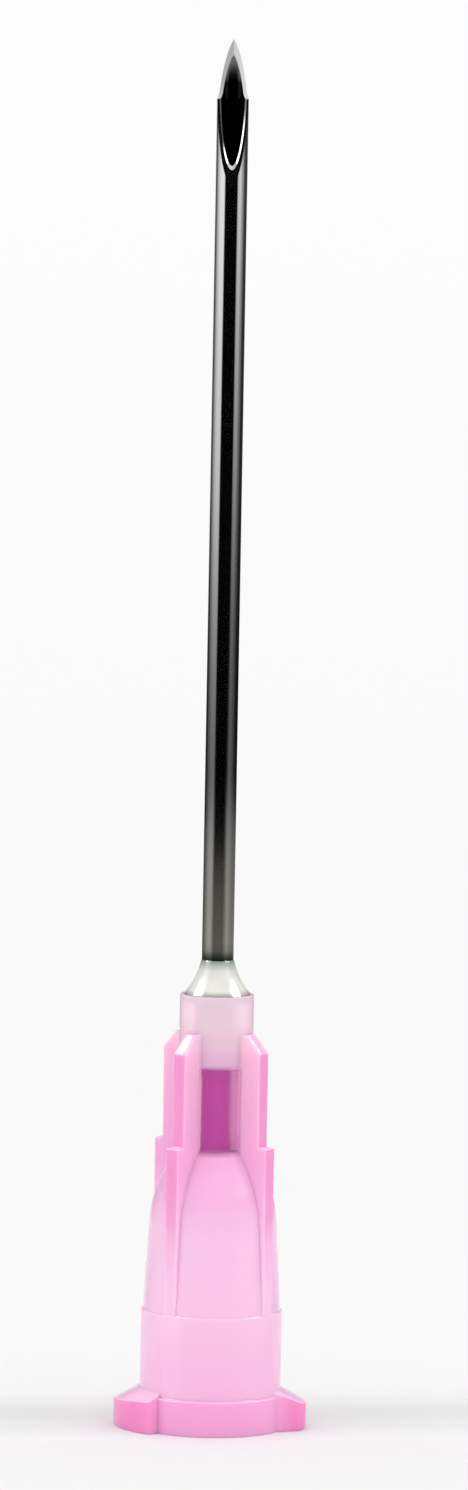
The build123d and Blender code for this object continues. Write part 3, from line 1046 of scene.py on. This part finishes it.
def studio_lamps(tree, direction, parts):
    """What gloss mirrors higher up: a soft ceiling, dimmer to the left, two small windows and two strips."""
    high = add_node(
        tree, "ShaderNodeMapRange", {"From Min": 0.30, "From Max": 0.41, "To Min": 0.0, "To Max": 1.1},
        {"Value": parts["Z"]},
    )
    leaning = add_node(
        tree, "ShaderNodeMapRange", {"From Min": -0.6, "From Max": 0.3, "To Min": 0.68, "To Max": 1.0},
        {"Value": parts["X"]},
    )
    lit = add_node(
        tree, "ShaderNodeMath", links={0: high.outputs["Result"], 1: leaning.outputs["Result"]},
        operation="MULTIPLY",
    )
    side = add_node(tree, "ShaderNodeMath", links={0: parts["X"]}, operation="ABSOLUTE")
    folded = add_node(
        tree, "ShaderNodeCombineXYZ", links={"X": side.outputs[0], "Y": parts["Y"], "Z": parts["Z"]}
    ).outputs["Vector"]
    lamps = (
        (folded, (0.677, 0.083, 0.731), 0.960, 0.982, 20.0),
        (direction, (-0.80, -0.20, 0.56), 0.930, 0.950, 3.0),
        (direction, (0.79, -0.34, 0.51), 0.970, 0.990, 3.0),
    )
    for looking, toward, edge, middle, strength in lamps:
        nearness = add_node(tree, "ShaderNodeVectorMath", {1: toward}, {0: looking}, operation="DOT_PRODUCT")
        shine = add_node(
            tree, "ShaderNodeMapRange",
            {"From Min": edge, "From Max": middle, "To Min": 0.0, "To Max": strength},
            {"Value": nearness.outputs["Value"]}, interpolation_type="SMOOTHSTEP",
        )
        lit = add_node(
            tree, "ShaderNodeMath", links={0: lit.outputs[0], 1: shine.outputs["Result"]}, operation="ADD"
        )
    return add_node(
        tree, "ShaderNodeBackground", {"Color": grey(1.0)}, {"Strength": lit.outputs[0]}
    ).outputs[0]


def surroundings(scene, settings):
    """White light all round, softer from behind. Only gloss sees the studio: panels, ceiling and lamps."""
    world = bpy.data.worlds.new("white studio")
    scene.world = world
    world.use_nodes = True
    tree = world.node_tree
    tree.nodes.clear()
    direction = add_node(tree, "ShaderNodeTexCoord").outputs["Generated"]
    parts = add_node(tree, "ShaderNodeSeparateXYZ", links={"Vector": direction}).outputs
    rise = add_node(
        tree, "ShaderNodeMapRange", {"From Min": -1.0, "From Max": 1.0}, {"Value": parts["Z"]}
    ).outputs["Result"]
    studio = add_node(
        tree, "ShaderNodeAddShader",
        links={0: studio_lamps(tree, direction, parts), 1: studio_walls(tree, parts, rise)},
    )
    path = add_node(tree, "ShaderNodeLightPath").outputs
    mirrored = add_node(
        tree, "ShaderNodeMath", links={0: path["Is Glossy Ray"], 1: path["Is Transmission Ray"]},
        operation="SUBTRACT", use_clamp=True,
    )
    fore_light = add_node(
        tree, "ShaderNodeMapRange", {"From Min": -0.5, "From Max": 0.8, "To Min": 1.355, "To Max": 1.01},
        {"Value": parts["Y"]},
    )
    glow = add_node(
        tree, "ShaderNodeMix", {NUMBER_B: 1.0},
        {FACTOR: path["Is Camera Ray"], NUMBER_A: fore_light.outputs["Result"]},
    )
    backdrop = add_node(
        tree, "ShaderNodeValToRGB", links={"Fac": rise},
        stops=[(0.44, settings.backdrop), (0.49, linear("#FCFCFC"))],
    )
    plain = add_node(
        tree, "ShaderNodeBackground",
        links={"Color": backdrop.outputs["Color"], "Strength": glow.outputs[MIXED_NUMBER]},
    )
    mix = add_node(
        tree, "ShaderNodeMixShader", links={0: mirrored.outputs[0], 1: plain.outputs[0], 2: studio.outputs[0]}
    )
    output = add_node(tree, "ShaderNodeOutputWorld")
    tree.links.new(mix.outputs["Shader"], output.inputs["Surface"])


def camera(scene, settings):
    """The photograph's view: from the height of the point, a third of a metre away."""
    data = bpy.data.cameras.new("camera")
    data.lens = settings.lens
    data.clip_start = 0.01
    data.clip_end = 20
    eye = Vector((settings.camera_side, -settings.camera_distance, settings.camera_height))
    aim = Vector((settings.camera_side, 0, settings.aim_height))
    looking = (aim - eye).to_track_quat("-Z", "Y").to_matrix().to_4x4()
    view = bpy.data.objects.new("camera", data)
    view.matrix_world = Matrix.Translation(eye) @ looking @ Matrix.Rotation(settings.camera_roll, 4, "Z")
    scene.collection.objects.link(view)
    scene.camera = view


# Panel and registration

class NEEDLE_PT_panel(bpy.types.Panel):
    """Lists the pieces of the needle"""
    bl_idname = "NEEDLE_PT_panel"
    bl_label = "Hypodermic needle"
    bl_space_type = "VIEW_3D"
    bl_region_type = "UI"
    bl_category = "Needle"

    def draw(self, context):
        for operator in OPERATORS:
            self.layout.operator(operator.bl_idname)
        for name in GROUPS:
            group = getattr(context.scene, name)
            box = self.layout.box()
            for prop in group.bl_rna.properties:
                if prop.identifier not in ("rna_type", "name"):
                    box.prop(group, prop.identifier)


OPERATORS = (NEEDLE_OT_stage, NEEDLE_OT_hub, NEEDLE_OT_cannula, NEEDLE_OT_adhesive)
GROUPS = {
    "needle_hub": NeedleHubSettings,
    "needle_tube": NeedleTubeSettings,
    "needle_resin": NeedleResinSettings,
    "needle_stage": NeedleStageSettings,
}


def register():
    for group in GROUPS.values():
        bpy.utils.register_class(group)
    for operator in OPERATORS:
        bpy.utils.register_class(operator)
    bpy.utils.register_class(NEEDLE_PT_panel)
    for name, group in GROUPS.items():
        setattr(bpy.types.Scene, name, bpy.props.PointerProperty(type=group))


def unregister():
    for name in GROUPS:
        delattr(bpy.types.Scene, name)
    bpy.utils.unregister_class(NEEDLE_PT_panel)
    for operator in reversed(OPERATORS):
        bpy.utils.unregister_class(operator)
    for group in reversed(GROUPS.values()):
        bpy.utils.unregister_class(group)


def main():
    """Builds the needle and its stage."""
    register()
    bpy.ops.needle.stage()
    bpy.ops.needle.hub()
    bpy.ops.needle.cannula()
    bpy.ops.needle.adhesive()
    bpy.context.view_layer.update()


if __name__ == "__main__":
    main()
